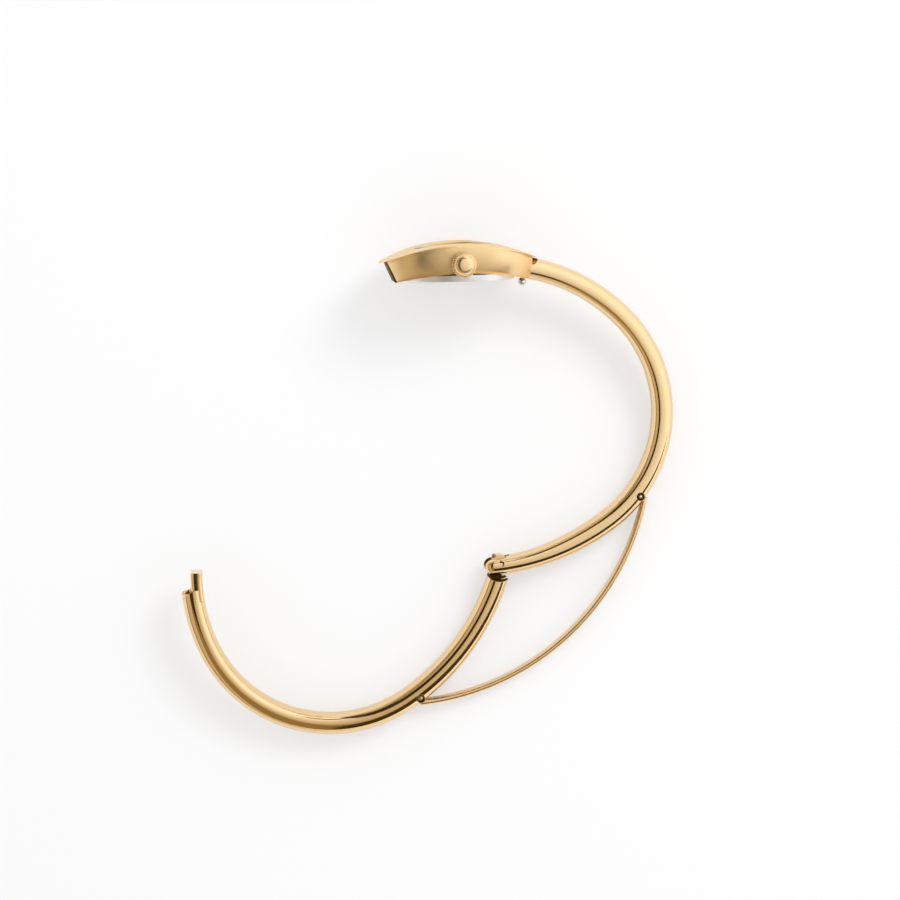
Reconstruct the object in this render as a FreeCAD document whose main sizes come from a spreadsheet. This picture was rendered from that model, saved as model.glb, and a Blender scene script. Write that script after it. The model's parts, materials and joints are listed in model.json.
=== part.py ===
import FreeCAD, Part
import math
import os
import re
import Sketcher

# Bangle watch lying open on its side: an arched watch head, a fixed half bangle, a hinged
# swing half, and a springy over-centre bow that joins the two halves outside the hinge.
#
# Ring frame, millimetres: X and Y lie in the plane of the bangle, with the head at the +Y side,
# and Z is the axis of the wrist opening, with the crown at the +Z side.
# Head frame: x points to 12 o'clock, z is the dial's upward direction, the crown is at -y.
# The bangle is drawn closed, and the swing half and the bow are then turned to their open rest.

doc = FreeCAD.newDocument("bangle_watch")
sheet = doc.addObject("Spreadsheet::Sheet", "sizes")
values = {}


def size(alias, value):
    """Put one driving dimension on the next row of the sheet and return it."""
    row = len(values) + 1
    sheet.set(f"A{row}", alias)
    sheet.set(f"B{row}", str(value))
    sheet.setAlias(f"B{row}", alias)
    values[alias] = value
    return value


# Bangle outline: half the width between the side arcs' centres, then the arcs' radii
side_offset = size("side_offset", 9.5)
side_radius = size("side_radius", 22.8)
bangle_depth = size("bangle_depth", 25.9)
shoulder_radius = size("shoulder_radius", 30.0)
shoulder_angle = size("shoulder_angle", 42.5)
band_thickness = size("band_thickness", 3.7)
band_width = size("band_width", 4.8)
band_corner = size("band_corner", 1.6)
band_ease = size("band_ease", 0.9)
shoulder_end = size("shoulder_end", 50.0)

# Main hinge between the two halves
hinge_across = size("hinge_across", 4.7)
hinge_depth = size("hinge_depth", 25.15)
open_angle = size("open_angle", 70.0)
ear_reach = size("ear_reach", 2.75)
fork_slot = size("fork_slot", 2.6)
fork_depth = size("fork_depth", 2.6)
knuckle_radius = size("knuckle_radius", 0.95)
knuckle_play = size("knuckle_play", 0.06)
hinge_gap = size("hinge_gap", 0.12)
web_length = size("web_length", 1.2)
web_rise = size("web_rise", 0.5)
web_drop = size("web_drop", 0.2)

# Tongue at the tip of the swing half, in the head's notch
tongue_length = size("tongue_length", 3.0)
tongue_thickness = size("tongue_thickness", 2.0)
tongue_inset = size("tongue_inset", 0.3)
tip_gap = size("tip_gap", 0.25)
tip_level = size("tip_level", 0.894)

# Over-centre bow and its two pins
fixed_pin_reach = size("fixed_pin_reach", 26.3)
fixed_pin_angle = size("fixed_pin_angle", 25.25)
swing_pin_reach = size("swing_pin_reach", 26.74)
swing_pin_angle = size("swing_pin_angle", 169.8)
bow_radius = size("bow_radius", 43.0)
bow_step = size("bow_step", 1.0)
bow_thickness = size("bow_thickness", 0.9)
bow_width = size("bow_width", 2.4)
bow_ease = size("bow_ease", 0.25)
bow_eye = size("bow_eye", 1.05)
bow_pin = size("bow_pin", 0.4)
bow_pin_head = size("bow_pin_head", 0.68)
head_depth = size("head_depth", 0.35)
pin_sink = size("pin_sink", 0.2)
hook_play = size("hook_play", 0.3)
channel_play = size("channel_play", 0.12)
pocket_reach = size("pocket_reach", 4.1)
pocket_floor = size("pocket_floor", 1.3)
pocket_shift = size("pocket_shift", 2.5)

# Quick-release bars at the hinge and at the head's lug
bar_radius = size("bar_radius", 0.5)
bar_tip = size("bar_tip", 0.3)
hinge_tip_reach = size("hinge_tip_reach", 1.05)
lug_tip_reach = size("lug_tip_reach", 1.1)
bar_travel = size("bar_travel", 0.8)
bar_fit = size("bar_fit", 0.03)
lug_across = size("lug_across", 11.7)
lug_level = size("lug_level", 1.417)
lug_barrel = size("lug_barrel", 1.95)
knob_radius = size("knob_radius", 0.7)
knob_neck = size("knob_neck", 0.28)
neck_play = size("neck_play", 0.08)
tube_end = size("tube_end", 0.3)
lug_knob_reach = size("lug_knob_reach", 2.5)
lug_knob_angle = size("lug_knob_angle", -113.0)
hinge_knob_reach = size("hinge_knob_reach", 1.95)
hinge_knob_angle = size("hinge_knob_angle", 120.0)
spring_length = size("spring_length", 0.22)

# Watch head
head_across = size("head_across", -2.5)
head_height = size("head_height", 22.9)
head_tilt = size("head_tilt", 2.0)
case_length = size("case_length", 25.0)
case_width = size("case_width", 19.4)
case_corner = size("case_corner", 8.5)
under_arch = size("under_arch", 45.0)
under_height = size("under_height", 1.25)
top_arch = size("top_arch", 37.0)
top_height = size("top_height", 5.5)
bezel_arch = size("bezel_arch", 27.5)
bezel_height = size("bezel_height", 6.6)
bezel_overhang = size("bezel_overhang", 0.9)
end_slant = size("end_slant", 24.0)
end_face = size("end_face", 12.3)
end_level = size("end_level", 2.9)
end_lip = size("end_lip", 0.774)
lug_room_play = size("lug_room_play", 0.25)
back_radius = size("back_radius", 9.3)
back_seat = size("back_seat", 1.3)
back_dome = size("back_dome", 1.35)
back_floor = size("back_floor", 0.35)
cavity_radius = size("cavity_radius", 8.2)
dial_level = size("dial_level", 4.0)
dial_thickness = size("dial_thickness", 0.35)
glass_radius = size("glass_radius", 7.3)
glass_edge = size("glass_edge", 5.3)
glass_seat = size("glass_seat", 4.6)
glass_dome = size("glass_dome", 6.95)
glass_thickness = size("glass_thickness", 0.9)
gasket_thickness = size("gasket_thickness", 0.3)
seat_play = size("seat_play", 0.03)

# Crown and stem
stem_level = size("stem_level", 2.75)
stem_radius = size("stem_radius", 0.35)
stem_inner = size("stem_inner", 5.2)
tube_radius = size("tube_radius", 0.85)
tube_stand = size("tube_stand", 0.6)
crown_radius = size("crown_radius", 2.15)
crown_length = size("crown_length", 2.1)
crown_dome = size("crown_dome", 0.75)
crown_gap = size("crown_gap", 0.3)
crown_pull = size("crown_pull", 1.0)
crown_flutes = size("crown_flutes", 32)
flute_depth = size("flute_depth", 0.12)
flute_share = size("flute_share", 0.62)
stem_fit = size("stem_fit", 0.04)

# Movement
plate_level = size("plate_level", 2.25)
plate_thickness = size("plate_thickness", 0.55)
bridge_level = size("bridge_level", 0.95)
bridge_thickness = size("bridge_thickness", 0.3)
tooth_module = size("tooth_module", 0.1)
wheel_thickness = size("wheel_thickness", 0.18)
pivot_radius = size("pivot_radius", 0.12)
pivot_fit = size("pivot_fit", 0.02)
battery_radius = size("battery_radius", 3.1)
battery_height = size("battery_height", 1.3)
battery_level = size("battery_level", 0.25)
hour_hand_length = size("hour_hand_length", 3.9)
minute_hand_length = size("minute_hand_length", 5.4)
holder_wall = size("holder_wall", 1.0)
stem_slot = size("stem_slot", 0.6)
slot_end = size("slot_end", 2.6)
lever_length = size("lever_length", 1.2)
lever_width = size("lever_width", 0.34)
lever_shift = size("lever_shift", 0.7)
board_width = size("board_width", 4.0)
board_shift = size("board_shift", 2.6)
board_thickness = size("board_thickness", 0.2)
screw_radius = size("screw_radius", 0.4)
screw_inset = size("screw_inset", 1.75)
quartz_radius = size("quartz_radius", 0.3)
quartz_length = size("quartz_length", 1.8)
quartz_across = size("quartz_across", 5.6)

# How far the cutting tools reach past what they cut
tool_reach = size("tool_reach", 20.0)

# Rest on the table: the bangle's plane tilts until the head's lower flank touches the table
rest_heading = size("rest_heading", -52.1)
rest_tilt = size("rest_tilt", 8.35)

doc.recompute()

Vector = FreeCAD.Vector
Rotation = FreeCAD.Rotation
Placement = FreeCAD.Placement
ORIGIN = Vector(0, 0, 0)
Z = Vector(0, 0, 1)
Y = Vector(0, 1, 0)
X = Vector(1, 0, 0)


def polar(centre, radius, degrees):
    """A point of the ring plane, seen from a centre."""
    angle = math.radians(degrees)
    return centre + Vector(radius * math.cos(angle), radius * math.sin(angle), 0)


def move(x=0, y=0, z=0, axis=Z, angle=0):
    return Placement(Vector(x, y, z), Rotation(axis, angle))


# Frames
tilt_axis = Vector(-math.sin(math.radians(rest_heading)), math.cos(math.radians(rest_heading)), 0)
ring = Placement(ORIGIN, Rotation(tilt_axis, rest_tilt))
head = ring.multiply(move(head_across, head_height, 0, Z, head_tilt)).multiply(move(axis=X, angle=-90))
hinge = Vector(hinge_across, -hinge_depth, 0)
swing_turn = Placement(ORIGIN, Rotation(Z, open_angle), hinge)
swing = ring.multiply(swing_turn)

# Centres of the outline's arcs. The floor arc is tangent to both side arcs.
floor_radius = (side_offset ** 2 + bangle_depth ** 2 - side_radius ** 2) / (2 * (bangle_depth - side_radius))
floor_centre = Vector(0, floor_radius - bangle_depth, 0)
side_centre = Vector(side_offset, 0, 0)
floor_end = math.degrees(math.atan2(side_centre.y - floor_centre.y, side_offset))
shoulder_centre = polar(side_centre, side_radius - shoulder_radius, shoulder_angle)

# Pins of the bow, closed and open
fixed_pin = polar(hinge, fixed_pin_reach, fixed_pin_angle)
swing_pin = polar(hinge, swing_pin_reach, swing_pin_angle)
open_pin = swing_turn.multVec(swing_pin)
bow_chord = fixed_pin.distanceToPoint(open_pin)
open_line = math.degrees(math.atan2(open_pin.y - fixed_pin.y, open_pin.x - fixed_pin.x))
closed_line = math.degrees(math.atan2(swing_pin.y - fixed_pin.y, swing_pin.x - fixed_pin.x))
pin_circle = bow_radius - bow_step
bow_rise = math.sqrt(pin_circle ** 2 - bow_chord ** 2 / 4)


def bow_centre(line):
    """Centre of the bow's arc when its pins lie along the given direction from the fixed pin."""
    middle = polar(fixed_pin, bow_chord / 2, line)
    return polar(middle, bow_rise, line - 90)


closed_bow = bow_centre(closed_line)


# Helpers that bind sizes to the sheet
def bind(obj, prop, text):
    """Bind a property to a formula in the sheet's names."""
    def named(word):
        return "sizes." + word.group() if word.group() in values else word.group()

    obj.setExpression(prop, re.sub(r"[a-z_]{2,}", named, text))


def lay(obj, x, y, z):
    for axis, text in (("x", x), ("y", y), ("z", z)):
        if text != "0":
            bind(obj, "Placement.Base." + axis, text)
    return obj


def cylinder(name, radius, height, x="0", y="0", z="0", axis=Z, angle=0):
    obj = doc.addObject("Part::Cylinder", name)
    bind(obj, "Radius", radius)
    bind(obj, "Height", height)
    obj.Placement = move(axis=axis, angle=angle)
    return lay(obj, x, y, z)


def box(name, length, width, height, x="0", y="0", z="0"):
    obj = doc.addObject("Part::Box", name)
    bind(obj, "Length", length)
    bind(obj, "Width", width)
    bind(obj, "Height", height)
    return lay(obj, x, y, z)


def sphere(name, radius, z, turn=90):
    """Ball on the Z axis with its poles on X, which keeps the domes cut from it free of them."""
    obj = doc.addObject("Part::Sphere", name)
    bind(obj, "Radius", radius)
    obj.Placement = move(axis=Y, angle=turn)
    return lay(obj, "0", "0", z)


def fuse(name, *pieces):
    obj = doc.addObject("Part::MultiFuse", name)
    obj.Shapes = list(pieces)
    obj.Refine = False
    return obj


def common(name, *pieces):
    obj = doc.addObject("Part::MultiCommon", name)
    obj.Shapes = list(pieces)
    return obj


def cut(name, base, *tools):
    tool = tools[0] if len(tools) == 1 else fuse(name + "_tools", *tools)
    obj = doc.addObject("Part::Cut", name)
    obj.Base = base
    obj.Tool = tool
    return obj


def formed(name, shape, placement=None):
    """A shape that neither a body nor a primitive fits, such as a tube along tangent arcs."""
    obj = doc.addObject("Part::Feature", name)
    obj.Shape = shape
    if placement:
        obj.Placement = placement
    return obj


def rounded(name, base, edges, radius):
    obj = doc.addObject("Part::Fillet", name)
    obj.Base = base
    obj.Edges = [(number, radius, radius) for number in edges]
    return obj


def edge_numbers(obj, wanted):
    """Numbers of the edges of an object that a test picks."""
    doc.recompute()
    return [number for number, edge in enumerate(obj.Shape.Edges, 1) if wanted(edge)]


def upright(edge):
    start, end = edge.Vertexes[0].Point, edge.Vertexes[-1].Point
    return abs(start.x - end.x) < 1e-6 and abs(start.y - end.y) < 1e-6


def sketch_on(body, role):
    sketch = body.newObject("Sketcher::SketchObject", body.Name + "_sketch")
    plane = [item for item in body.Origin.OriginFeatures if item.Role == role][0]
    sketch.AttachmentSupport = [(plane, "")]
    sketch.MapMode = "FlatFace"
    return sketch


def turned(name, points):
    """A lathe piece about its own Z: points are (radius, height) formulas, none negative."""
    body = doc.addObject("PartDesign::Body", name)
    sketch = sketch_on(body, "XZ_Plane")
    count = len(points)
    start = [polar(Vector(2, 2, 0), 1, step * 359 / count) for step in range(count)]
    for step in range(count):
        sketch.addGeometry(Part.LineSegment(start[step], start[(step + 1) % count]), False)
    for step in range(count):
        sketch.addConstraint(Sketcher.Constraint("Coincident", step, 2, (step + 1) % count, 1))
    for step, (radius, height) in enumerate(points):
        for kind, text in (("DistanceX", radius), ("DistanceY", height)):
            number = sketch.addConstraint(Sketcher.Constraint(kind, -1, 1, step, 1, 1.0))
            if text == "0":
                sketch.setDatum(number, 0.0)
            else:
                bind(sketch, f"Constraints[{number}]", text)
    turn = body.newObject("PartDesign::Revolution", name + "_turn")
    turn.Profile = sketch
    turn.ReferenceAxis = (sketch, ["V_Axis"])
    turn.Angle = 360
    sketch.Visibility = False
    return body


def ring_points(outer, inner, low, high):
    return [(inner, low), (outer, low), (outer, high), (inner, high)]


def toothed(teeth, level, thickness):
    """A wheel padded from one outline of short straight-sided teeth that stay inside the pitch circle."""
    pitch = tooth_module * teeth / 2
    tip, root = pitch - tooth_module * 0.25, pitch - tooth_module * 1.3
    points = []
    for tooth in range(teeth):
        for share, radius in ((-0.2, tip), (0.2, tip), (0.5, root)):
            points.append(polar(ORIGIN, radius, (tooth + share) * 360 / teeth))
    outline = Part.Face(Part.makePolygon(points + points[:1]))
    outline.translate(Vector(0, 0, level))
    return outline.extrude(Vector(0, 0, thickness))


finished = []


def finish(obj, frame, x=0, y=0, z=0, axis=Z, angle=0):
    """Place a sub-part in a shared frame and keep it for export."""
    obj.Placement = frame.multiply(move(x, y, z, axis, angle))
    finished.append(obj)
    return obj


# Bangle halves
def arcs_at(arcs, offset):
    """The outline's arcs, moved outward by an offset."""
    edges = []
    for centre, radius, start, end in arcs:
        angles = (start, (start + end) / 2, end)
        edges.append(Part.Arc(*[polar(centre, radius + offset, angle) for angle in angles]).toShape())
    return edges


def band(arcs, thickness, width, ease, corner=0, shift=0):
    """Bar along tangent arcs, each given as centre, radius, start and end.

    Its inner edges are bevelled, and its outer edges are rounded where a corner radius is given.
    """
    inner, outer = shift - thickness / 2, shift + thickness / 2
    edges = arcs_at(arcs, inner) + arcs_at(arcs, outer)
    for (centre, radius, start, end), angle in ((arcs[0], arcs[0][2]), (arcs[-1], arcs[-1][3])):
        low, high = polar(centre, radius + inner, angle), polar(centre, radius + outer, angle)
        edges.append(Part.makeLine(low, high))
    outline = Part.Face(Part.Wire(Part.__sortEdges__(edges)))
    outline.translate(Vector(0, 0, -width / 2))
    bar = outline.extrude(Vector(0, 0, width))

    def long_edges(solid, offset):
        radii = [abs(radius + offset) for centre, radius, start, end in arcs]
        flat = [edge for edge in solid.Edges if isinstance(edge.Curve, Part.Circle)
                and abs(abs(edge.CenterOfMass.z) - width / 2) < 1e-6]
        return [edge for edge in flat if min(abs(edge.Curve.Radius - radius) for radius in radii) < 1e-6]

    if corner:
        bar = bar.makeFillet(corner, long_edges(bar, outer))
    else:
        bar = bar.makeChamfer(ease, long_edges(bar, outer))
    return bar.makeChamfer(ease, long_edges(bar, inner))


def mirrored(point):
    return Vector(-point.x, point.y, 0)


def arc_to(arc, point):
    """Arc that goes on from another one's end, tangent to it, as far as a point."""
    centre, radius, start, end = arc
    corner = polar(centre, radius, end)
    outward = (corner - centre) * (1 / radius)
    step = point - corner
    reach = -step.dot(step) / (2 * step.dot(outward))
    middle = corner - outward * reach
    facing = (point - middle) * (1 / reach)
    turn = math.atan2(outward.cross(facing).z, outward.dot(facing))
    return middle, reach, end, end + math.degrees(turn)


def in_ring(x, z):
    """A point of the head's middle plane, in the ring frame."""
    return ring.inverse().multVec(head.multVec(Vector(x, 0, z)))


# Fixed half, from the floor's middle to the lug's bar, which keeps its place in the head
lug_point = in_ring(lug_across, lug_level)
right_shoulder = (shoulder_centre, shoulder_radius, shoulder_angle, shoulder_end)
lug_centre, lug_arc_radius, lug_start, lug_angle = arc_to(right_shoulder, lug_point)
fixed_arcs = [
    (floor_centre, floor_radius, -90.0, floor_end),
    (side_centre, side_radius, floor_end, shoulder_angle),
    right_shoulder,
    (lug_centre, lug_arc_radius, lug_start, lug_angle + math.degrees(lug_barrel / lug_arc_radius)),
]

# Swing half, from the hinge to the tongue's root, and the tongue as far as the head's notch
left_floor = -180 - floor_end
tip_point = in_ring(end_lip - end_face - tip_gap, tip_level)
left_shoulder = (mirrored(shoulder_centre), shoulder_radius, -180 - shoulder_angle, -180 - shoulder_end)
tip_centre, tip_arc_radius, tip_start, tip_angle = arc_to(left_shoulder, tip_point)
tongue_angle = tip_angle + math.degrees(tongue_length / tip_arc_radius)
hinge_angle = math.degrees(math.asin(hinge_across / floor_radius)) - 90
swing_arcs = [
    (floor_centre, floor_radius, hinge_angle, left_floor),
    (mirrored(side_centre), side_radius, left_floor, -180 - shoulder_angle),
    left_shoulder,
    (tip_centre, tip_arc_radius, tip_start, tongue_angle),
]

channel_width = "bow_width + 2 * channel_play"


def ring_cylinder(name, centre, radius, height):
    """Tool standing across the bangle's plane, centred on it."""
    obj = doc.addObject("Part::Cylinder", name)
    bind(obj, "Radius", radius)
    bind(obj, "Height", height)
    obj.Placement = Placement(centre, Rotation())
    bind(obj, "Placement.Base.z", f"-({height}) / 2")
    return obj


def channel(name, pin, pocket_radius, floor_shift):
    """Groove that takes the closed bow, with a pocket round its eye."""
    around = ring_cylinder(name + "_around", closed_bow, "bow_radius * 1.4", channel_width)
    floor = "bow_radius - bow_thickness / 2 - channel_play"
    inside = ring_cylinder(name + "_inside", closed_bow, floor, channel_width)
    groove = cut(name + "_groove", around, inside)
    pocket = ring_cylinder(name + "_pocket", pin, pocket_radius, channel_width)
    if floor_shift:
        pocket.Placement = Placement(polar(pin, pocket_shift, closed_line + 180), Rotation())
        bind(pocket, "Placement.Base.z", f"-({channel_width}) / 2")
        keep = ring_cylinder(name + "_keep", floor_centre, floor_shift, channel_width)
        pocket = cut(name + "_deep", pocket, keep)
    return fuse(name, groove, pocket)


def pin_hole(name, pin):
    through = ring_cylinder(name + "_through", pin, "bow_pin + bar_fit", "band_width + 2")
    seat = doc.addObject("Part::Cylinder", name + "_seat")
    bind(seat, "Radius", "bow_pin_head + bar_fit")
    bind(seat, "Height", "band_width")
    seat.Placement = Placement(pin, Rotation())
    bind(seat, "Placement.Base.z", "band_width / 2 - head_depth")
    return fuse(name, through, seat)


# Fixed half: band, forked end round the knuckle, barrel for the lug's bar
fixed_blank = formed("fixed_blank", band(fixed_arcs, band_thickness, band_width, band_ease, band_corner))


def round_end(name, point, direction, radius):
    """Tool that trims the band beyond a point, in one direction, to a round end."""
    half = tool_reach / 2
    block = Part.makeBox(half, tool_reach, tool_reach, Vector(0, -half, -half))
    beyond = formed(name + "_beyond", block, Placement(point, Rotation(Z, direction)))
    return cut(name, beyond, ring_cylinder(name + "_round", point, radius, "40"))


ear_tool = round_end("ear_end", hinge, 180, "ear_reach")
lug_tool = round_end("lug_end", lug_point, lug_angle + 90, "lug_barrel")
fork_corner = hinge + Vector(fork_depth - tool_reach, -tool_reach / 2, -fork_slot / 2)
fork = formed("fork", Part.makeBox(tool_reach, tool_reach, fork_slot, fork_corner))
bar_hole = ring_cylinder("hinge_bar_hole", hinge, "bar_tip + bar_fit", "band_width + 2")
lug_bore = ring_cylinder("lug_bore", lug_point, "bar_radius + bar_fit", "band_width + 2")


def knob_slot(name, point, direction):
    """Slot that the knob's neck slides in."""
    length = 2 * band_thickness
    half = knob_neck + neck_play
    tool = Part.makeBox(length, 2 * half, bar_travel + 2 * half, Vector(0, -half, -bar_travel / 2 - half))
    return formed(name, tool, Placement(point, Rotation(Z, direction)))


lug_slot = knob_slot("lug_slot", lug_point, lug_knob_angle)
fixed_channel = channel("fixed_channel", fixed_pin, "bow_eye + channel_play", None)
fixed_half = cut("fixed_half", fixed_blank, ear_tool, lug_tool, fork, bar_hole, lug_bore, lug_slot,
                 fixed_channel, pin_hole("fixed_pin_hole", fixed_pin))
finish(fixed_half, ring)

# Swing half: band, tongue for the head's notch, knuckle on the hinge
swing_blank = formed("swing_blank", band(swing_arcs, band_thickness, band_width, band_ease, band_corner))
tongue_root = tongue_angle + math.degrees(band_thickness / 2 / tip_arc_radius)
tongue_arcs = [(tip_centre, tip_arc_radius, tongue_root, tip_angle)]
tongue = formed("tongue", band(tongue_arcs, tongue_thickness, band_width - 2 * tongue_inset, 2 * tongue_inset,
                               shift=(tongue_thickness - band_thickness) / 2))
cheek_clear = ring_cylinder("cheek_clear", hinge, "ear_reach + hinge_gap", "40")
cheeks = cut("cheeks", swing_blank, cheek_clear)
web_width = fork_slot - 2 * knuckle_play
web_corner = hinge + Vector(-ear_reach - web_length, -web_drop, -web_width / 2)
web = formed("web", Part.makeBox(ear_reach + web_length, knuckle_radius + web_rise, web_width, web_corner))
knuckle = ring_cylinder("knuckle", hinge, "knuckle_radius", "fork_slot - 2 * knuckle_play")
hinge_bore = ring_cylinder("hinge_bore", hinge, "bar_radius + bar_fit", "band_width")
hinge_slot = knob_slot("hinge_slot", hinge, hinge_knob_angle - open_angle)
swing_half = cut("swing_half", fuse("swing_body", cheeks, tongue, web, knuckle), hinge_bore, hinge_slot,
                 channel("swing_channel", swing_pin, "pocket_reach", str(floor_radius - pocket_floor)),
                 pin_hole("swing_pin_hole", swing_pin))
finish(swing_half, swing)

# Bow: thin strip on one arc, with an eye at the fixed pin and an open hook at the swing pin
bow_home = bow_centre(open_line)
first = math.degrees(math.atan2(fixed_pin.y - bow_home.y, fixed_pin.x - bow_home.x))
last = math.degrees(math.atan2(open_pin.y - bow_home.y, open_pin.x - bow_home.x))
if last > first:
    last -= 360
strip = formed("strip", band([(bow_home, bow_radius, first, last)], bow_thickness, bow_width, bow_ease))
eye_a = ring_cylinder("eye_a", fixed_pin, "bow_eye", "bow_width")
eye_b = ring_cylinder("eye_b", open_pin, "bow_eye", "bow_width")
eye_bore = ring_cylinder("eye_bore", fixed_pin, "bow_pin + stem_fit", "bow_width + 2")
hook_half = bow_pin + hook_play
hook_round = ring_cylinder("hook_round", open_pin, "bow_pin + hook_play", "bow_width + 2")
mouth = Part.makeBox(2 * bow_width, 2 * hook_half, 2 * bow_width, Vector(0, -hook_half, -bow_width))
hook_mouth = formed("hook_mouth", mouth, Placement(open_pin, Rotation(Z, open_line)))
bow = cut("bow", fuse("bow_body", strip, eye_a, eye_b), eye_bore, hook_round, hook_mouth)
finish(bow, ring)


def bow_rivet(name):
    """Pin with a flush head, axis along its own Z, centred on the bangle's plane."""
    return turned(name, [("0", "0"), ("bow_pin", "0"), ("bow_pin", "band_width - head_depth - pin_sink"),
                         ("bow_pin_head", "band_width - head_depth - pin_sink"),
                         ("bow_pin_head", "band_width - 2 * pin_sink"),
                         ("bow_pin_head - 0.15", "band_width - 0.25"), ("0", "band_width - 0.25")])


finish(bow_rivet("bow_pin_fixed"), ring, fixed_pin.x, fixed_pin.y, pin_sink - band_width / 2)
finish(bow_rivet("bow_pin_swing"), swing, swing_pin.x, swing_pin.y, pin_sink - band_width / 2)


# Quick-release bars: tube with one fast tip, a spring, and a sliding tip with a knob
def bar_tube(name, length, reach):
    half = length / 2
    body = Part.makeCylinder(bar_radius, length, Vector(0, 0, -half))
    bore = Part.makeCylinder(bar_tip + 0.02, length - tube_end, Vector(0, 0, tube_end - half))
    fast = Part.makeCylinder(bar_tip, reach, Vector(0, 0, -half - reach))
    neck = knob_neck + neck_play
    corner = Vector(0, -neck, -bar_travel / 2 - neck)
    slot = Part.makeBox(4 * bar_radius, 2 * neck, bar_travel + 2 * neck, corner)
    return formed(name, body.cut(bore).cut(slot).fuse(fast))


def bar_plunger(name, length, reach, knob_reach):
    """Sliding tip, its neck through the slot and the ball that a fingernail pulls."""
    level = bar_travel / 2
    below = level - knob_neck - bar_fit
    rod = Part.makeCylinder(bar_tip, length / 2 + reach - below, Vector(0, 0, below))
    back = knob_reach - math.sqrt(knob_radius ** 2 - knob_neck ** 2)
    start, shoulder = Vector(0, 0, level), Vector(back, knob_neck, level)
    top, end = Vector(knob_reach, knob_radius, level), Vector(knob_reach + knob_radius, 0, level)
    side = Vector(0, knob_neck, level)
    lines = [Part.makeLine(start, side), Part.makeLine(side, shoulder), Part.makeLine(end, start)]
    ball = Part.Arc(shoulder, top, end).toShape()
    profile = Part.Face(Part.Wire([lines[0], lines[1], ball, lines[2]]))
    return formed(name, rod.fuse(profile.revolve(start, X, 360)))


def bar_spring(name):
    """Hidden spring under the sliding tip, as a plain sleeve at its pushed-in length."""
    return turned(name, ring_points("bar_tip - 0.02", "bar_tip - 0.12", "0", "spring_length"))


hinge_bar_length = fork_slot - 2 * knuckle_play
lug_bar_length = band_width
hinge_place = (swing, hinge.x, hinge.y, 0, Z, hinge_knob_angle - open_angle)
lug_bar_place = (ring, lug_point.x, lug_point.y, 0, Z, lug_knob_angle)
finish(bar_tube("hinge_bar", hinge_bar_length, hinge_tip_reach), *hinge_place)
finish(bar_plunger("hinge_release", hinge_bar_length, hinge_tip_reach, hinge_knob_reach), *hinge_place)
finish(bar_spring("hinge_spring"), swing, hinge.x, hinge.y, tube_end - hinge_bar_length / 2)
finish(bar_tube("lug_bar", lug_bar_length, lug_tip_reach), *lug_bar_place)
finish(bar_plunger("lug_release", lug_bar_length, lug_tip_reach, lug_knob_reach), *lug_bar_place)
finish(bar_spring("lug_spring"), ring, lug_point.x, lug_point.y, tube_end - lug_bar_length / 2)


# Watch head: arched case
def plan(name, grow):
    """Cushion outline of the head, standing through its whole height."""
    block = box(name + "_block", f"case_length + 2 * ({grow})", f"case_width + ({grow})", "20",
                f"-case_length / 2 - ({grow})", f"-(case_width + ({grow})) / 2", "-8")
    return rounded(name, block, edge_numbers(block, upright), case_corner)


def arch(name, radius, height):
    """Long roller across the head, whose top line lies at the given height."""
    return cylinder(name, radius, "40", "0", "20", f"{height} - ({radius})", X, 90)


case_solid = common("case_solid", plan("case_plan", "0"), arch("case_top", "top_arch", "top_height"))
under = arch("case_under", "under_arch", "under_height")
back_recess = cylinder("back_recess", "back_radius + seat_play", "20", "0", "0", "back_seat - 20")
cavity = cylinder("cavity", "cavity_radius", "dial_level - back_seat + 1", "0", "0", "back_seat - 1")
opening = cylinder("opening", "glass_radius - 0.6", "10", "0", "0", "back_seat")
tube_hole = cylinder("tube_hole", "tube_radius + 0.005", "case_width", "0", "0", "stem_level", X, 90)
end_tool = box("end_tool", "tool_reach", "2 * tool_reach", "2 * tool_reach")
end_corner = Placement(Vector(-end_face, -tool_reach, end_level), Rotation(Y, 180 - end_slant))
end_tool.Placement = end_corner.multiply(move(0, 0, -tool_reach))
lug_side = lug_across - lug_barrel - lug_room_play
lug_flank = band_width / 2 + lug_room_play / 2
room_corner = Vector(lug_side, -lug_flank, top_height - tool_reach)
lug_room = formed("lug_room", Part.makeBox(tool_reach, 2 * lug_flank, tool_reach, room_corner))
tip_hole = doc.addObject("Part::Cylinder", "tip_hole")
bind(tip_hole, "Radius", "bar_tip + bar_fit")
bind(tip_hole, "Height", "band_width + 2 * (lug_tip_reach + bar_fit)")
tip_end = Vector(lug_across, band_width / 2 + lug_tip_reach + bar_fit, lug_level)
tip_hole.Placement = Placement(tip_end, Rotation(X, 90))
glass_recess = cylinder("glass_recess", "glass_radius + seat_play", "10", "0", "0", "glass_seat")
case_middle = cut("case_middle", case_solid, glass_recess, under, back_recess, cavity, opening, tube_hole,
                  end_tool, lug_room, tip_hole)
finish(case_middle, head)

# Bezel: arched frame that overhangs both ends and covers the notch
bezel_top = arch("bezel_top", "bezel_arch", "bezel_height")
bezel_body = common("bezel_body", plan("bezel_plan", "bezel_overhang"), bezel_top)
glass_hole = cylinder("glass_hole", "glass_radius + seat_play", "20", "0", "0", "0")
bezel = cut("bezel", bezel_body, arch("bezel_seat", "top_arch", "top_height"), glass_hole)
finish(bezel, head)

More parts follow.
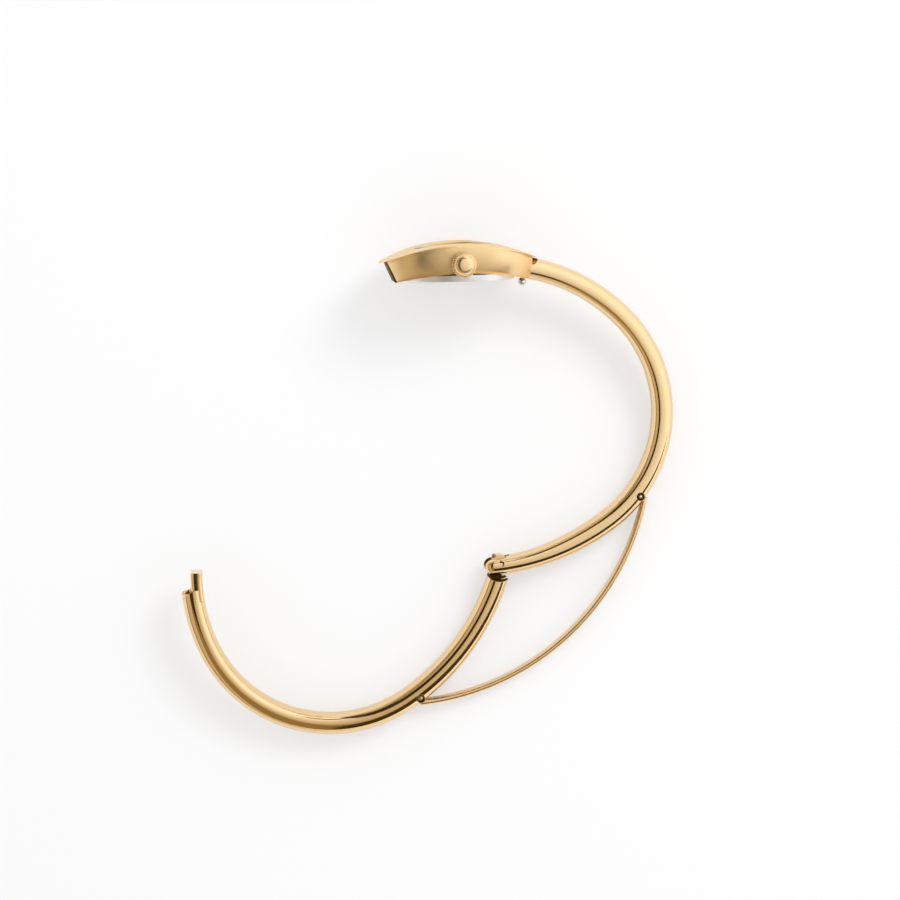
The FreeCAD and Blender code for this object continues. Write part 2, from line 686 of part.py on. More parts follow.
# Domed glass on its gasket
dome_rise = "(glass_dome - glass_edge)"
ball = f"(glass_radius ^ 2 / {dome_rise} + {dome_rise}) / 2"
glass_outer = sphere("glass_outer", ball, f"glass_dome - {ball}")
glass_inner = sphere("glass_inner", f"{ball} - glass_thickness", f"glass_dome - {ball}")
glass_edge_tube = cylinder("glass_edge_tube", "glass_radius", "10", "0", "0", "glass_seat + gasket_thickness")
crystal = cut("crystal", common("glass_blank", glass_outer, glass_edge_tube), glass_inner)
finish(crystal, head)
crystal_gasket = turned("crystal_gasket",
                        ring_points("glass_radius", "glass_radius - 0.58", "0", "gasket_thickness"))
finish(crystal_gasket, head, z=glass_seat)

# Case back with its dome and gasket
back_ball = "(back_radius ^ 2 / back_dome + back_dome) / 2"
back_sphere = sphere("back_sphere", back_ball, f"{back_ball} - back_dome", -90)
back_tube = cylinder("back_tube", "back_radius", "20", "0", "0", "-10")
back_above = cylinder("back_above", "back_radius + 1", "20", "0", "0", "back_seat - 0.3")
back_hollow = cylinder("back_hollow", "cavity_radius", "20", "0", "0", "back_floor - 0.4")
caseback = cut("caseback", common("back_blank", back_sphere, back_tube), back_above, back_hollow)
finish(caseback, head)
finish(turned("caseback_gasket", ring_points("back_radius - 0.1", "cavity_radius + 0.1", "0", "0.3")), head,
       z=back_seat - 0.3)

# Dial, chapter ring, markers
finish(turned("dial", ring_points("cavity_radius - seat_play", "0.85", "0", "dial_thickness")), head,
       z=dial_level - dial_thickness)
dial_ring = turned("dial_ring", [("glass_radius - 1.4", "0"), ("glass_radius - 0.62", "0"),
                                 ("glass_radius - 0.62", "0.85"), ("glass_radius - 0.8", "0.85")])
finish(dial_ring, head, z=dial_level)


def markers():
    """Twelve plain bars, the one at 12 o'clock double."""
    bars = []
    for hour in range(12):
        offsets = (-0.22, 0.22) if hour == 0 else (0,)
        for offset in offsets:
            bar = Part.makeBox(1.1, 0.26, 0.12, Vector(glass_radius - 2.75, -0.13 + offset, 0))
            bar.rotate(ORIGIN, Z, -30 * hour)
            bars.append(bar)
    return formed("hour_markers", Part.makeCompound(bars))


finish(markers(), head, z=dial_level)

# Crown, tube, stem and the lever that holds the stem
finish(turned("crown_tube", ring_points("tube_radius", "stem_radius + stem_fit + 0.15", "0",
                                        "case_width / 2 - cavity_radius + tube_stand")),
       head, 0, -cavity_radius, stem_level, X, 90)


def fluted(height):
    """Prism with a tooth outline, which the crown's coin edge is cut to."""
    points = []
    for step in range(int(crown_flutes)):
        for share, radius in ((-0.25, crown_radius), (0.25, crown_radius), (0.5, crown_radius - flute_depth)):
            points.append(polar(ORIGIN, radius, (step + share) * 360 / crown_flutes))
    return Part.Face(Part.makePolygon(points + points[:1])).extrude(Vector(0, 0, height))


def crown_solid():
    """Domed crown with a coin edge and a hollow that goes over the tube."""
    barrel = Part.makeCylinder(crown_radius, crown_length)
    ball_radius = (crown_radius ** 2 / crown_dome + crown_dome) / 2
    ball = Part.makeSphere(ball_radius, Vector(0, 0, crown_length - ball_radius + crown_dome * 0.6), -X)
    solid = barrel.fuse(Part.makeCylinder(crown_radius - 0.25, crown_dome, Vector(0, 0, crown_length)))
    solid = solid.common(ball)
    edge = Part.makeCylinder(crown_radius, crown_length * flute_share)
    hollow = Part.makeCylinder(tube_radius + 0.06, tube_stand + crown_pull + 0.2)
    return solid.cut(edge.cut(fluted(crown_length * flute_share))).cut(hollow)


finish(formed("crown", crown_solid()), head, 0, -case_width / 2 - crown_gap, stem_level, X, 90)
finish(turned("crown_gasket", ring_points("stem_radius + stem_fit + 0.13", "stem_radius", "0", "0.5")), head,
       0, -case_width / 2 - crown_gap - 0.1, stem_level, X, 90)
stem_length = "case_width / 2 + crown_gap + tube_stand + crown_pull + 0.2 - stem_inner"
stem = turned("stem", [("0", "0"), ("stem_radius", "0"), ("stem_radius", "0.5"),
                       ("stem_radius - 0.12", "0.5"), ("stem_radius - 0.12", "0.9"), ("stem_radius", "0.9"),
                       ("stem_radius", stem_length), ("0", stem_length)])
finish(stem, head, 0, -stem_inner, stem_level, X, 90)
lever = Part.makeBox(lever_length, lever_width, 0.5, Vector(0, -lever_width / 2, -0.25))
lever = lever.cut(Part.makeCylinder(stem_radius - 0.12 + 0.03, 2, Vector(0, -1, 0), Y))
finish(formed("setting_lever", lever), head, 0, -stem_inner - lever_shift, stem_level)

# Movement: plate, bridge, train
intermediate = polar(ORIGIN, tooth_module * (60 + 6) / 2, 200)
rotor_place = polar(intermediate, tooth_module * (63 + 7) / 2, 265)
minute_place = polar(ORIGIN, tooth_module * (10 + 30) / 2, 60)
battery_place = polar(ORIGIN, cavity_radius - 1.1 - battery_radius, 80)


def plate_solid():
    """Main plate with pivot holes, a battery well and a slot for the stem."""
    plate = Part.makeCylinder(cavity_radius - holder_wall, plate_thickness)
    for place, radius in ((ORIGIN, 0.42), (intermediate, pivot_radius + pivot_fit),
                          (rotor_place, pivot_radius + pivot_fit)):
        plate = plate.cut(Part.makeCylinder(radius, 2, place + Vector(0, 0, -1)))
    post = Part.makeCylinder(pivot_radius, 0.75, minute_place + Vector(0, 0, plate_thickness - 0.1))
    slot = Part.makeBox(2 * stem_slot, cavity_radius, 2, Vector(-stem_slot, -cavity_radius - slot_end, -1))
    room_width = 2 * lever_shift + crown_pull - 0.2
    lever_room = Part.makeBox(stem_slot + lever_length + 0.2, room_width, 2,
                              Vector(-stem_slot, -stem_inner + 0.1 - room_width, -1))
    return plate.fuse(post).cut(slot).cut(lever_room)


finish(formed("main_plate", plate_solid()), head, z=plate_level)
holder_height = "dial_level - dial_thickness - bridge_level"
holder_blank = cylinder("holder_blank", "cavity_radius - seat_play", holder_height, "0", "0", "bridge_level")
holder_bore = cylinder("holder_bore", "cavity_radius - holder_wall + seat_play", "10", "0", "0", "0")
holder_hole = cylinder("holder_hole", "tube_radius - 0.2", "10", "0", "0", "stem_level", X, 90)
finish(cut("movement_holder", holder_blank, holder_bore, holder_hole), head)


def bridge_solid():
    """Train bridge under the wheels, with pivot holes and three screw holes."""
    bridge = Part.makeCylinder(cavity_radius - holder_wall, bridge_thickness)
    bridge = bridge.cut(Part.makeCylinder(battery_radius + 0.15, 2, battery_place + Vector(0, 0, -1)))
    for place in (ORIGIN, intermediate, rotor_place):
        bridge = bridge.cut(Part.makeCylinder(pivot_radius + pivot_fit, 2, place + Vector(0, 0, -1)))
    return bridge


finish(formed("train_bridge", bridge_solid()), head, z=bridge_level)


screw_places = [polar(ORIGIN, cavity_radius - screw_inset, angle) for angle in (150, 300, 350)]


def pillars():
    """Three screws with their pillars between the bridge and the plate."""
    solids = []
    for place in screw_places:
        length = plate_level - bridge_level - bridge_thickness
        pillar = Part.makeCylinder(screw_radius, length, place + Vector(0, 0, bridge_thickness))
        screw = Part.makeCylinder(screw_radius, board_thickness, place + Vector(0, 0, -board_thickness))
        groove = Part.makeBox(1, 0.12, 0.1, place + Vector(-0.5, -0.06, -board_thickness))
        solids += [pillar, screw.cut(groove)]
    return solids


finish(formed("bridge_screws", Part.makeCompound(pillars())), head, z=bridge_level)


def arbor(radius, low, high):
    return Part.makeCylinder(radius, high - low, Vector(0, 0, low))


under_plate = plate_level - 0.12 - wheel_thickness
low_wheel = bridge_level + bridge_thickness + 0.12
dial_side = plate_level + plate_thickness + 0.06


def wheel(name, pieces):
    solid = pieces[0]
    for piece in pieces[1:]:
        solid = solid.fuse(piece)
    return formed(name, solid.removeSplitter())


center_top = dial_level + 1.0
center = [toothed(60, under_plate, wheel_thickness),
          arbor(pivot_radius, bridge_level + 0.02, under_plate + 0.05),
          arbor(0.38, under_plate, dial_side), toothed(10, dial_side - 0.01, 0.3),
          arbor(0.34, dial_side, center_top)]
finish(wheel("center_wheel", center), head)
hour_tube = Part.makeCylinder(0.72, dial_level + 0.55 - dial_side - 0.36, Vector(0, 0, dial_side + 0.36))
hour_bore = Part.makeCylinder(0.38, 4, Vector(0, 0, dial_side))
hour = toothed(32, dial_side + 0.34, 0.16).fuse(hour_tube).cut(hour_bore)
finish(formed("hour_wheel", hour), head)
minute = toothed(30, dial_side + 0.02, 0.22).fuse(toothed(8, dial_side + 0.23, 0.34))
minute = minute.cut(Part.makeCylinder(pivot_radius + pivot_fit, 3, Vector(0, 0, plate_level)))
finish(formed("minute_wheel", minute), head, minute_place.x, minute_place.y, 0)
pivots = arbor(pivot_radius, bridge_level + 0.02, plate_level + plate_thickness - 0.02)
inter = [toothed(63, low_wheel, wheel_thickness),
         toothed(6, low_wheel + wheel_thickness - 0.01, under_plate - low_wheel), pivots]
finish(wheel("intermediate_wheel", inter), head, intermediate.x, intermediate.y, 0)
rotor = [toothed(7, low_wheel - 0.02, wheel_thickness + 0.04),
         arbor(0.5, low_wheel + 0.35, plate_level - 0.12), pivots]
finish(wheel("rotor", rotor), head, rotor_place.x, rotor_place.y, 0)

# Stator, coil, circuit board, quartz crystal, battery and its clamp
stator_level = low_wheel + 0.4
stator = Part.makeBox(3.1, 1.9, 0.2, Vector(-1.1, -0.95, 0))
stator = stator.cut(Part.makeCylinder(0.62, 1, Vector(0, 0, -0.3)))
stator_turn = 14
finish(formed("stator", stator), head, rotor_place.x, rotor_place.y, stator_level, Z, stator_turn)
coil_place = polar(rotor_place, 3.55, stator_turn)
coil = Part.makeCylinder(0.38, 2.4, Vector(-1.2, 0, 0), X)
for side in (-1.3, 1.1):
    coil = coil.fuse(Part.makeBox(0.2, 0.9, 0.8, Vector(side, -0.45, -0.4)))
finish(formed("coil", coil), head, coil_place.x, coil_place.y, plate_level - 0.42, Z, stator_turn)
board = Part.makeCylinder(cavity_radius - holder_wall - 0.1, board_thickness)
board = board.common(Part.makeBox(board_width, 2 * cavity_radius, 1, Vector(board_shift, -cavity_radius, 0)))
board = board.cut(Part.makeCylinder(battery_radius + 0.15, 2, battery_place + Vector(0, 0, -1)))
for place in screw_places:
    board = board.cut(Part.makeCylinder(screw_radius + 0.1, 2, place + Vector(0, 0, -1)))
finish(formed("circuit_board", board), head, z=bridge_level - board_thickness)
can = Part.makeCylinder(quartz_radius, quartz_length, Vector(-quartz_length / 2, 0, 0), Y)
finish(formed("quartz_can", can), head, quartz_across, -0.8, bridge_level - board_thickness - quartz_radius)
battery = turned("battery", [("0", "0"), ("battery_radius - 0.25", "0"), ("battery_radius - 0.25", "0.15"),
                             ("battery_radius", "0.15"), ("battery_radius", "battery_height"),
                             ("0", "battery_height")])
finish(battery, head, battery_place.x, battery_place.y, battery_level)
clamp = Part.makeBox(2 * battery_radius + 1.4, 1.0, 0.15, Vector(-battery_radius - 0.7, -0.5, -0.15))
finish(formed("battery_clamp", clamp), head, battery_place.x, battery_place.y, battery_level)


# Hands: leaf blades with their hubs
def hand(length, width, hub, bore, thickness=0.12):
    side = [(-0.9, width * 0.3), (length * 0.3, width), (length, 0.04)]
    corners = [Vector(x, -y, 0) for x, y in side] + [Vector(x, y, 0) for x, y in reversed(side)]
    blade = Part.makePolygon(corners + corners[:1])
    solid = Part.Face(blade).extrude(Vector(0, 0, thickness)).fuse(Part.makeCylinder(hub, thickness))
    return solid.cut(Part.makeCylinder(bore, 1, Vector(0, 0, -0.5)))


finish(formed("hour_hand", hand(hour_hand_length, 0.34, 0.95, 0.72)), head, z=dial_level + 0.36, angle=-300)
finish(formed("minute_hand", hand(minute_hand_length, 0.26, 0.6, 0.34)), head, z=dial_level + 0.72, angle=-54)

doc.recompute()

# Move the whole watch so that it stands on z = 0 with the middle of its footprint at the origin
corners = [point for obj in finished for point in obj.Shape.tessellate(0.05)[0]]
low = Vector(*[min(getattr(point, axis) for point in corners) for axis in "xyz"])
high = Vector(*[max(getattr(point, axis) for point in corners) for axis in "xyz"])
stand = Placement(Vector(-(low.x + high.x) / 2, -(low.y + high.y) / 2, -low.z), Rotation())
for obj in finished:
    obj.Placement = stand.multiply(obj.Placement)
doc.recompute()

# Look at every object before anything is written
problems = []
for obj in doc.Objects:
    if "Invalid" in obj.State or "Error" in obj.State:
        problems.append(f"{obj.Name} {obj.State}")
for obj in finished:
    obj.Label = obj.Name
    if obj.Shape.isNull() or not obj.Shape.isValid() or not obj.Shape.Solids:
        problems.append(f"{obj.Name} has no valid solid")
if problems:
    raise RuntimeError("; ".join(problems))

os.makedirs("parts", exist_ok=True)
for obj in finished:
    obj.Shape.exportStep(f"parts/{obj.Name}.step")
    print(obj.Name, len(obj.Shape.Solids), round(obj.Shape.Volume, 3))
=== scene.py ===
import bpy
import bmesh
import json
import math
from mathutils import Matrix, Vector, Quaternion


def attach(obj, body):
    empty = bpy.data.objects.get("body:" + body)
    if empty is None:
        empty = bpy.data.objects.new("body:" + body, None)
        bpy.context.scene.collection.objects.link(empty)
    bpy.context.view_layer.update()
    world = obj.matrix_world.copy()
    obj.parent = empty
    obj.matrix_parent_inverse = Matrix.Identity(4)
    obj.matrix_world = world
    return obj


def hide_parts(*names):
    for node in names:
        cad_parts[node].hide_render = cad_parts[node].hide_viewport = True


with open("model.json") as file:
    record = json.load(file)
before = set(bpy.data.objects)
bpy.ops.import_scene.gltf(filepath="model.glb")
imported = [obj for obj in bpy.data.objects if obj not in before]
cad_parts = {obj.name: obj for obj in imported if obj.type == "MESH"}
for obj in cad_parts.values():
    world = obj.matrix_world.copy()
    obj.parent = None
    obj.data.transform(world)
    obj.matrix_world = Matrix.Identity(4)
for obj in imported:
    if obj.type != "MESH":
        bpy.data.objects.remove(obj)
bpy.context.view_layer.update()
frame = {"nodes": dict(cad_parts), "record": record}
MM = 0.001
scene = bpy.context.scene
nodes = frame["nodes"]


# Materials
class Shader:
    """Small helper round one node tree."""

    def __init__(self, name):
        self.material = bpy.data.materials.new(name)
        self.material.use_nodes = True
        self.tree = self.material.node_tree
        self.main = self.tree.nodes["Principled BSDF"]

    def node(self, kind, **settings):
        made = self.tree.nodes.new(kind)
        for key, value in settings.items():
            setattr(made, key, value)
        return made

    def link(self, source, target):
        self.tree.links.new(source, target)

    def noise(self, scale, detail=4.0, rough=0.5, stretch=None):
        coords = self.node("ShaderNodeTexCoord")
        made = self.node("ShaderNodeTexNoise")
        made.inputs["Scale"].default_value = scale
        made.inputs["Detail"].default_value = detail
        made.inputs["Roughness"].default_value = rough
        if stretch:
            mapping = self.node("ShaderNodeMapping")
            mapping.inputs["Scale"].default_value = stretch
            self.link(coords.outputs["Object"], mapping.inputs["Vector"])
            self.link(mapping.outputs["Vector"], made.inputs["Vector"])
        else:
            self.link(coords.outputs["Object"], made.inputs["Vector"])
        return made

    def spread(self, source, low, high, start=0.0, end=1.0):
        made = self.node("ShaderNodeMapRange")
        made.inputs["From Min"].default_value = start
        made.inputs["From Max"].default_value = end
        made.inputs["To Min"].default_value = low
        made.inputs["To Max"].default_value = high
        self.link(source, made.inputs["Value"])
        return made.outputs["Result"]

    def mix(self, factor, one, other):
        made = self.node("ShaderNodeMix", data_type="RGBA")
        made.inputs[6].default_value = (*one, 1)
        made.inputs[7].default_value = (*other, 1)
        self.link(factor, made.inputs[0])
        return made.outputs[2]

    def bump(self, height, strength, distance, edge=0.0):
        made = self.node("ShaderNodeBump")
        if edge:
            bevel = self.node("ShaderNodeBevel")
            bevel.samples = 4
            bevel.inputs["Radius"].default_value = edge
            self.link(bevel.outputs["Normal"], made.inputs["Normal"])
        made.inputs["Strength"].default_value = strength
        made.inputs["Distance"].default_value = distance
        self.link(height, made.inputs["Height"])
        self.link(made.outputs["Normal"], self.main.inputs["Normal"])


def metal(name, pale, deep, rough, wear=0.05, grain=None, edge=0.0001):
    """Metal with a soft haze, fine wiping marks, slightly uneven tint and broken edges."""
    shader = Shader(name)
    shader.main.inputs["Metallic"].default_value = 1.0
    haze = shader.noise(240.0, 5.0, 0.6)
    marks = shader.noise(2600.0, 3.0, 0.55, grain or (1.0, 0.12, 1.0))
    shader.link(shader.mix(haze.outputs["Fac"], pale, deep), shader.main.inputs["Base Color"])
    shader.link(shader.spread(haze.outputs["Fac"], rough * 0.7, rough * 1.4, 0.3, 0.7),
                shader.main.inputs["Roughness"])
    shader.bump(marks.outputs["Fac"], wear, 0.00001, edge)
    return shader.material


def plain(name, one, other, rough, scale, transmission=0.0, bump=0.1):
    """Paint, plastic, rubber or glass: two near tints in fine clouds, with slightly uneven gloss."""
    shader = Shader(name)
    cloud = shader.noise(scale, 6.0, 0.6)
    shader.main.inputs["Transmission Weight"].default_value = transmission
    shader.link(shader.mix(cloud.outputs["Fac"], one, other), shader.main.inputs["Base Color"])
    shader.link(shader.spread(cloud.outputs["Fac"], rough * 0.8, rough * 1.25, 0.3, 0.7),
                shader.main.inputs["Roughness"])
    if bump:
        shader.bump(cloud.outputs["Fac"], bump, 0.00002)
    return shader.material


def sunray_dial(middle, facing):
    """Pale silver lacquer with fine rays from the middle, across the way that it faces."""
    shader = Shader("dial_lacquer")
    place = shader.node("ShaderNodeTexCoord")
    centred = shader.node("ShaderNodeVectorMath", operation="SUBTRACT")
    centred.inputs[1].default_value = middle
    shader.link(place.outputs["Object"], centred.inputs[0])
    turned = shader.node("ShaderNodeVectorRotate", rotation_type="EULER_XYZ", invert=True)
    turned.inputs["Rotation"].default_value = facing
    shader.link(centred.outputs[0], turned.inputs["Vector"])
    flat = shader.node("ShaderNodeVectorMath", operation="MULTIPLY")
    flat.inputs[1].default_value = (1, 1, 0)
    shader.link(turned.outputs[0], flat.inputs[0])
    unit = shader.node("ShaderNodeVectorMath", operation="NORMALIZE")
    shader.link(flat.outputs[0], unit.inputs[0])
    rays = shader.node("ShaderNodeTexNoise")
    rays.inputs["Scale"].default_value = 26.0
    rays.inputs["Detail"].default_value = 4.0
    shader.link(unit.outputs[0], rays.inputs["Vector"])
    shader.main.inputs["Metallic"].default_value = 0.55
    shader.link(shader.mix(rays.outputs["Fac"], (0.86, 0.85, 0.80), (0.72, 0.71, 0.66)),
                shader.main.inputs["Base Color"])
    shader.link(shader.spread(rays.outputs["Fac"], 0.22, 0.42, 0.3, 0.7), shader.main.inputs["Roughness"])
    return shader.material


PALE_GOLD, DEEP_GOLD = (0.93, 0.68, 0.39), (0.90, 0.64, 0.33)
gold = metal("polished_gold", PALE_GOLD, DEEP_GOLD, 0.10)
soft_gold = metal("soft_gold", PALE_GOLD, DEEP_GOLD, 0.20)
satin = metal("satin_gold", (0.93, 0.68, 0.37), (0.90, 0.64, 0.32), 0.40, wear=0.04, edge=0)
steel = metal("polished_steel", (0.80, 0.80, 0.79), (0.74, 0.74, 0.74), 0.14)
back_steel = metal("brushed_steel", (0.93, 0.93, 0.94), (0.88, 0.88, 0.89), 0.5, wear=0.1, edge=0)
dark_steel = metal("dark_steel", (0.42, 0.38, 0.28), (0.30, 0.26, 0.17), 0.3)
glass = plain("mineral_glass", (1, 1, 1), (0.985, 0.99, 0.985), 0.02, 300.0, transmission=1.0, bump=0.0)
# Dark brown metal that stands in for painted shade in gaps, grooves and recesses, where the real gold lies in
# shadow
painted_gap_shade = metal("painted_gap_shadow", (0.10, 0.05, 0.015), (0.05, 0.025, 0.005), 0.5)

# Frames of the part, each from millimetres to the scene's metres: the ring as it lies on the table, the swing
# half turned open about its hinge, and the watch head, whose dial faces along its own Z
OPEN_ANGLE = 70
RING_PLACE = Vector((7.526771, 11.967262, 7.054575))
RING_TURN = Quaternion((0.9973463, 0.0574477, 0.0447218, 0))
ring = Matrix.Translation(RING_PLACE * MM) @ RING_TURN.to_matrix().to_4x4() @ Matrix.Scale(MM, 4)
hinge = Vector((4.7, -25.15, 0))
swing = (ring @ Matrix.Translation(hinge) @ Matrix.Rotation(math.radians(OPEN_ANGLE), 4, "Z")
         @ Matrix.Translation(-hinge))
head = (ring @ Matrix.Translation((-2.5, 22.9, 0)) @ Matrix.Rotation(math.radians(2), 4, "Z")
        @ Matrix.Rotation(math.radians(-90), 4, "X"))

# Centre and radius of each arc of the band's middle line, the angles at which they meet, and the band's
# thickness, with the skin's section a hair inside it
FLOOR = (Vector((0, 13.007, 0)), 38.907)
SIDE = (Vector((9.5, 0, 0)), 22.8)
SHOULDER = (Vector((4.1917, -4.8643, 0)), 30.0)
FLOOR_END = -53.86
SHOULDER_ANGLE = 42.5
THICK = 3.7
HALF_THICK, HALF_WIDE, ROUNDNESS = 1.83, 2.38, 2.3

# Hinge: reach of the fixed half's end past the pin, radius of its room, and half widths of the fork's slot
# and of the knuckle
END_REACH = 2.75
END_ROOM = 2.87
FORK_HALF, KNUCKLE_HALF = 1.3, 1.24

# Bow: radius of the strip's middle line and of the arc on which its pins lie, the channel that takes it, and
# the seats of the pins
STRIP_RADIUS, PIN_ARC = 43.0, 42.0
CHANNEL_RADIUS, CHANNEL_OUTER, CHANNEL_HALF = 42.43, 55, 1.32
SEAT_RADIUS = 0.72

# Watch head: half sizes of the cushion outlines, radii of the bores, and heights over its base
CASE_LONG, CASE_WIDE = 12.5, 9.7
BEZEL_LONG = 13.4
GLASS_BORE, RIM_BORE, MOVEMENT_BORE, BACK_BORE = 7.35, 7.9, 8.25, 9.33
DIAL_LEVEL = 4.0
CROWN_LEVEL = 2.75


def polar(centre, radius, degrees):
    angle = math.radians(degrees)
    return centre + Vector((radius * math.cos(angle), radius * math.sin(angle), 0))


def mirrored(arc):
    return (Vector((-arc[0].x, arc[0].y, 0)), arc[1])


def path(arcs, step=0.75):
    """Stations along tangent arcs: place, outward direction and forward direction."""
    stations = []
    for (centre, radius), start, end in arcs:
        count = max(2, int(abs(end - start) / step))
        for index in range(0 if not stations else 1, count + 1):
            angle = start + (end - start) * index / count
            outward = polar(Vector(), 1, angle)
            forward = polar(Vector(), 1, angle + (90 if end > start else -90))
            stations.append((polar(centre, radius, angle), outward, forward))
    return stations


def section(thick, wide, corner, shift=0.0, steps=12):
    """Rounded rectangle as (offset, height) points."""
    points = []
    for quarter, (side, up) in enumerate(((1, 1), (-1, 1), (-1, -1), (1, -1))):
        for index in range(steps + 1):
            angle = math.radians(90 * quarter + 90 * index / steps)
            points.append((shift + side * (thick / 2 - corner) + corner * math.cos(angle),
                           up * (wide / 2 - corner) + corner * math.sin(angle)))
    return points


def rings_mesh(name, rings, closed=False, caps=True):
    """Skin over rings of points with equal counts."""
    mesh = bpy.data.meshes.new(name)
    bm = bmesh.new()
    made = [[bm.verts.new(point) for point in ring_] for ring_ in rings]
    count = len(made[0])
    pairs = list(zip(made, made[1:])) + ([(made[-1], made[0])] if closed else [])
    for one, other in pairs:
        for index in range(count):
            after = (index + 1) % count
            bm.faces.new((one[index], one[after], other[after], other[index]))
    if caps and not closed:
        bm.faces.new(reversed(made[0]))
        bm.faces.new(made[-1])
    bmesh.ops.remove_doubles(bm, verts=bm.verts, dist=1e-5)
    bmesh.ops.recalc_face_normals(bm, faces=bm.faces)
    bm.to_mesh(mesh)
    bm.free()
    return link(name, mesh)


def link(name, mesh):
    obj = bpy.data.objects.new(name, mesh)
    scene.collection.objects.link(obj)
    return obj


def sweep(name, stations, points, round_start=False, round_end=False, slant=None):
    """Section carried along stations, with ends that are flat, rounded or set back by the slant."""
    rings = []
    for place, outward, forward in stations:
        rings.append([place + outward * off + Vector((0, 0, up)) for off, up in points])
    if slant:
        place, outward, forward = stations[-1]
        rings[-1] = [place + outward * off + Vector((0, 0, up)) - forward * slant(off) for off, up in points]
    for wanted, station, back in ((round_start, stations[0], -1), (round_end, stations[-1], 1)):
        if not wanted:
            continue
        place, outward, forward = station
        turns = []
        for index in range(1, 13):
            angle = math.radians(7.5 * index)
            turns.append([place + outward * off * math.cos(angle) + forward * back * abs(off) * math.sin(angle)
                          + Vector((0, 0, up)) for off, up in points])
        rings = turns[::-1] + rings if back < 0 else rings + turns
    return rings_mesh(name, rings)


def prism(name, outline, low, high):
    return rings_mesh(name, [[Vector((x, y, up)) for x, y in outline] for up in (low, high)])


def disc(centre, radius, count=96):
    return [(centre.x + radius * math.cos(2 * math.pi * index / count),
             centre.y + radius * math.sin(2 * math.pi * index / count)) for index in range(count)]


def annulus(name, centre, inner, outer, half, count=360):
    rings = []
    for radius, up in ((inner, -half), (outer, -half), (outer, half), (inner, half)):
        rings.append([Vector((x, y, up)) for x, y in disc(centre, radius, count)])
    return rings_mesh(name, rings, closed=True)


def carve(obj, cutters, operation="DIFFERENCE"):
    """Cut an object by others, which are then dropped."""
    for cutter in cutters:
        modifier = obj.modifiers.new("cut", "BOOLEAN")
        modifier.object = cutter
        modifier.operation = operation
        modifier.solver = "EXACT"
    graph = bpy.context.evaluated_depsgraph_get()
    mesh = bpy.data.meshes.new_from_object(obj.evaluated_get(graph))
    obj.modifiers.clear()
    obj.data = mesh
    for cutter in cutters:
        bpy.data.objects.remove(cutter)


def joined(name, pieces):
    """One object of several, each already in the same millimetre frame."""
    bm = bmesh.new()
    for piece in pieces:
        bm.from_mesh(piece.data)
        bpy.data.objects.remove(piece)
    mesh = bpy.data.meshes.new(name)
    bm.to_mesh(mesh)
    bm.free()
    return link(name, mesh)


def dress(obj, matrix, material, body, node=None, sharp=38):
    """Put a millimetre mesh in place, shade it and tie it to its body."""
    obj.data.transform(matrix)
    obj.data.materials.clear()
    obj.data.materials.append(material)
    obj.data.polygons.foreach_set("use_smooth", [True] * len(obj.data.polygons))
    obj.data.set_sharp_from_angle(angle=math.radians(sharp))
    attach(obj, body)
    if node:
        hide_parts(node)


def lathe(name, profile, count=96):
    """Turned piece about Z from (radius, height) points; a zero radius closes it."""
    rings = [[Vector((r * math.cos(2 * math.pi * i / count), r * math.sin(2 * math.pi * i / count), z))
              for i in range(count)] for r, z in profile]
    return rings_mesh(name, rings, caps=False)


def superellipse(half_long, half_wide, power, count):
    """Outline between an ellipse and a rectangle, the squarer the higher its power."""
    points = []
    for index in range(count):
        angle = 2 * math.pi * index / count
        along, across = math.cos(angle), math.sin(angle)
        points.append((half_long * math.copysign(abs(along) ** (2 / power), along),
                       half_wide * math.copysign(abs(across) ** (2 / power), across)))
    return points


# Pins of the bow, and the bow's arc in the closed and the open bangle
fixed_pin = polar(hinge, 26.3, 25.25)
swing_pin = polar(hinge, 26.74, 169.8)
turn = (Matrix.Translation(hinge) @ Matrix.Rotation(math.radians(OPEN_ANGLE), 4, "Z")
        @ Matrix.Translation(-hinge))
open_pin = turn @ swing_pin
chord = (open_pin - fixed_pin).length
rise = math.sqrt(PIN_ARC ** 2 - chord ** 2 / 4)


def line_angle(target):
    return math.degrees(math.atan2(target.y - fixed_pin.y, target.x - fixed_pin.x))


def bow_centre(line):
    return polar(polar(fixed_pin, chord / 2, line), rise, line - 90)


closed_bow = bow_centre(line_angle(swing_pin))
bow_home = bow_centre(line_angle(open_pin))


def bow_channel():
    """Cutter of the channel in which the closed bow lies."""
    return annulus("channel", closed_bow, CHANNEL_RADIUS, CHANNEL_OUTER, CHANNEL_HALF)


# Fixed half: a rounded bar with round ends, slimmer toward the hinge, where it is forked
band = superellipse(HALF_THICK, HALF_WIDE, ROUNDNESS, 64)
end_x = hinge.x - END_REACH + THICK / 2
start_angle = math.degrees(math.asin(end_x / FLOOR[1])) - 90
lug_angle = 80.5
fixed_path = path([(FLOOR, start_angle, FLOOR_END), (SIDE, FLOOR_END, SHOULDER_ANGLE),
                   (SHOULDER, SHOULDER_ANGLE, lug_angle)])
fixed = sweep("fixed_half_skin", fixed_path, band, round_start=True, round_end=True)
SLIM_FROM, SLIM_RUN, SLIM_SHARE = 20, 13, 0.26
for vertex in fixed.data.vertices:
    out = vertex.co - FLOOR[0]
    short = FLOOR[1] - Vector((out.x, out.y, 0)).length
    if short > 0 and vertex.co.y < 0 and vertex.co.x < SLIM_FROM:
        share = min(1.0, (SLIM_FROM - vertex.co.x) / SLIM_RUN)
        step = short * SLIM_SHARE * share * share * (3 - 2 * share)
        vertex.co += Vector((out.x, out.y, 0)).normalized() * step
cheek_x = hinge.x + 0.4
fork = prism("fork", [(-20, -45), (7.3, -45), (7.3, -24.9), (cheek_x, -24.9), (cheek_x, -10), (-20, -10)],
             -FORK_HALF, FORK_HALF)
pocket = prism("pocket", disc(fixed_pin, 1.17), -CHANNEL_HALF, CHANNEL_HALF)
seat = prism("seat", disc(fixed_pin, SEAT_RADIUS), 2.0, 3.0)
slot = prism("slot", [(-20, -24.6), (6.4, -24.6), (6.4, -10), (-20, -10)], -0.5, 0.5)
